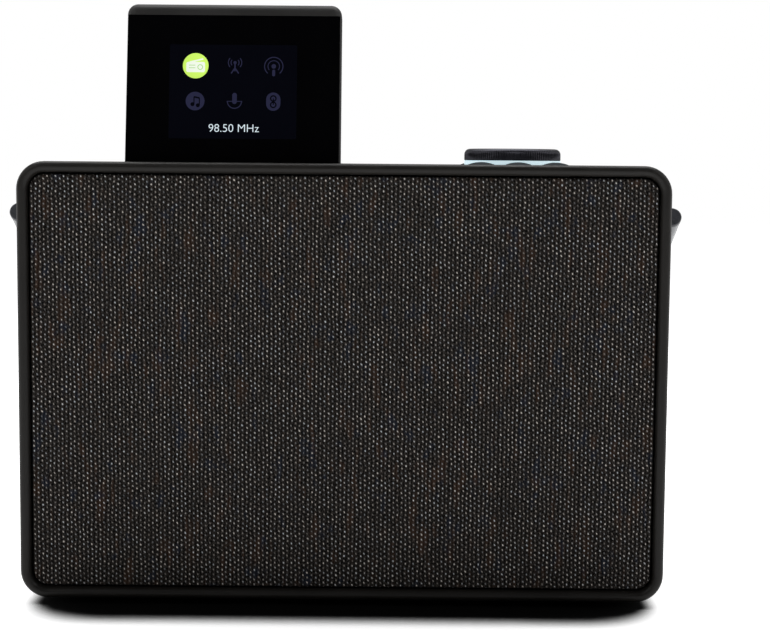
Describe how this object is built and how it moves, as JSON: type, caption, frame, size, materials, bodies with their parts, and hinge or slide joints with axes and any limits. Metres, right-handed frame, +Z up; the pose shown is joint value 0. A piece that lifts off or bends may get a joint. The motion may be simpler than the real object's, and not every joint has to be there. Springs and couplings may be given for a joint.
{
  "type": "tabletop radio",
  "caption": "Portable tabletop radio: black cabinet with a cloth front, a display that folds flat into the top, a control dial with push buttons, a folding carry handle and a rod aerial.",
  "frame": {"origin": "on the table, at the middle of the whole radio's footprint box, display raised and handle folded back", "axes": "+X to the listener's right along the width, -Y out of the cloth front, +Z up"},
  "size_m": [0.2554, 0.1046, 0.2239],
  "materials": {
    "shell_plastic": "fine satin grain, black-brown",
    "cover_plastic": "moulded grain",
    "foot_rubber": "matte rubber",
    "screw_steel": "black zinc",
    "grille_cloth": "coarse woven melange",
    "frame_plastic": "black moulded",
    "basket_steel": "black pressed steel",
    "surround_rubber": "butyl rubber",
    "cone_paper": "coated paper",
    "magnet_ferrite": "ferrite and plated steel",
    "port_plastic": "smooth black",
    "display_case": "satin black",
    "screen_glass": "polished black",
    "lcd_stack": "display module",
    "circuit_board": "solder mask",
    "hinge_steel": "ground pin",
    "dial_black": "black anodised, fine knurl",
    "dial_bright": "polished",
    "encoder_metal": "plated",
    "encoder_plastic": "moulded",
    "button_plastic": "satin",
    "sink_aluminium": "extruded",
    "socket_plastic": "black",
    "socket_metal": "nickel",
    "battery_wrap": "shrink sleeve",
    "contact_brass": "gold flash",
    "bush_acetal": "acetal",
    "handle_metal": "satin anodised black",
    "grip_rubber": "soft-touch sleeve",
    "cap_plastic": "grained",
    "aerial_plastic": "black",
    "aerial_chrome": "polished"
  },
  "bodies": {
    "root": {"cabinet_shell": "shell_plastic", "rear_cover": "cover_plastic", "feet": "foot_rubber", "rear_screws": "screw_steel", "inner_screws": "screw_steel", "grille_fabric": "grille_cloth", "grille_frame": "frame_plastic", "speaker_baffle": "frame_plastic", "left_driver_basket": "basket_steel", "left_driver_surround": "surround_rubber", "left_driver_cone": "cone_paper", "left_driver_magnet": "magnet_ferrite", "right_driver_basket": "basket_steel", "right_driver_surround": "surround_rubber", "right_driver_cone": "cone_paper", "right_driver_magnet": "magnet_ferrite", "driver_screws": "screw_steel", "bass_port": "port_plastic", "display_well": "frame_plastic", "encoder_body": "encoder_plastic", "control_board": "circuit_board", "button_switches": "encoder_plastic", "main_board": "circuit_board", "tuner_can": "encoder_metal", "heat_sink": "sink_aluminium", "dc_socket": "socket_plastic", "headphone_socket": "socket_plastic", "line_in_socket": "socket_plastic", "usb_socket": "socket_metal", "battery_pack": "battery_wrap", "battery_contacts": "contact_brass", "handle_bushes": "bush_acetal"},
    "display": {"display_housing": "display_case", "display_glass": "screen_glass", "lcd_panel": "lcd_stack", "display_board": "circuit_board", "display_hinge_pins": "hinge_steel"},
    "encoder": {"encoder_rotor": "encoder_metal"},
    "dial": {"dial_knob": "dial_black", "dial_ring": "dial_bright"},
    "handle": {"handle_tube": "handle_metal", "handle_grip": "grip_rubber", "handle_end_caps": "cap_plastic", "handle_pivot_pins": "hinge_steel"},
    "aerial_mount": {"aerial_swivel": "aerial_plastic", "aerial_circlip": "hinge_steel", "aerial_elbow_pin": "hinge_steel"},
    "aerial_base": {"aerial_base_tube": "aerial_chrome"},
    "aerial_second": {"aerial_section_1": "aerial_chrome"},
    "aerial_third": {"aerial_section_2": "aerial_chrome"},
    "aerial_fourth": {"aerial_section_3": "aerial_chrome", "aerial_tip": "aerial_chrome"},
    "battery_door": {"battery_door": "cover_plastic"},
    "button_front_left": {"button_front_left": "button_plastic"},
    "button_front_middle": {"button_front_middle": "button_plastic"},
    "button_front_right": {"button_front_right": "button_plastic"},
    "button_rear_left": {"button_rear_left": "button_plastic"},
    "button_rear_middle": {"button_rear_middle": "button_plastic"},
    "button_rear_right": {"button_rear_right": "button_plastic"}
  },
  "joints": [
    {"name": "display_fold", "type": "hinge", "parent": "root", "child": "display", "pos_m": [-0.042, -0.03675, 0.1602], "axis": [-1, 0, 0], "range_deg": [0, 80]},
    {"name": "dial_turn", "type": "hinge", "parent": "root", "child": "encoder", "pos_m": [0.0644, -0.00925, 0.165], "axis": [0, 0, 1], "continuous": true},
    {"name": "dial_press", "type": "slide", "parent": "encoder", "child": "dial", "axis": [0, 0, -1], "range_m": [0, 0.0006], "stiffness_N_per_m": 1500, "springref_m": -0.001},
    {"name": "handle_fold", "type": "hinge", "parent": "root", "child": "handle", "pos_m": [0, -0.02196, 0.14315], "axis": [1, 0, 0], "range_deg": [0, 107]},
    {"name": "aerial_turn", "type": "hinge", "parent": "root", "child": "aerial_mount", "pos_m": [0.1, 0.03835, 0.159], "axis": [0, 1, 0], "range_deg": [0, 115]},
    {"name": "aerial_tilt", "type": "hinge", "parent": "aerial_mount", "child": "aerial_base", "pos_m": [0.1, 0.03835, 0.159], "axis": [0, 0, -1], "range_deg": [0, 90]},
    {"name": "aerial_slide_1", "type": "slide", "parent": "aerial_base", "child": "aerial_second", "axis": [-1, 0, 0], "range_m": [0, 0.125]},
    {"name": "aerial_slide_2", "type": "slide", "parent": "aerial_second", "child": "aerial_third", "axis": [-1, 0, 0], "range_m": [0, 0.125]},
    {"name": "aerial_slide_3", "type": "slide", "parent": "aerial_third", "child": "aerial_fourth", "axis": [-1, 0, 0], "range_m": [0, 0.125]},
    {"name": "battery_door_off", "type": "slide", "parent": "root", "child": "battery_door", "axis": [0, 1, 0], "range_m": [0, 0.03]},
    {"name": "press_front_left", "type": "slide", "parent": "root", "child": "button_front_left", "axis": [0, 0, -1], "range_m": [0, 0.0007], "stiffness_N_per_m": 400, "springref_m": -0.002},
    {"name": "press_front_middle", "type": "slide", "parent": "root", "child": "button_front_middle", "axis": [0, 0, -1], "range_m": [0, 0.0007], "stiffness_N_per_m": 400, "springref_m": -0.002},
    {"name": "press_front_right", "type": "slide", "parent": "root", "child": "button_front_right", "axis": [0, 0, -1], "range_m": [0, 0.0007], "stiffness_N_per_m": 400, "springref_m": -0.002},
    {"name": "press_rear_left", "type": "slide", "parent": "root", "child": "button_rear_left", "axis": [0, 0, -1], "range_m": [0, 0.0007], "stiffness_N_per_m": 400, "springref_m": -0.002},
    {"name": "press_rear_middle", "type": "slide", "parent": "root", "child": "button_rear_middle", "axis": [0, 0, -1], "range_m": [0, 0.0007], "stiffness_N_per_m": 400, "springref_m": -0.002},
    {"name": "press_rear_right", "type": "slide", "parent": "root", "child": "button_rear_right", "axis": [0, 0, -1], "range_m": [0, 0.0007], "stiffness_N_per_m": 400, "springref_m": -0.002}
  ]
}
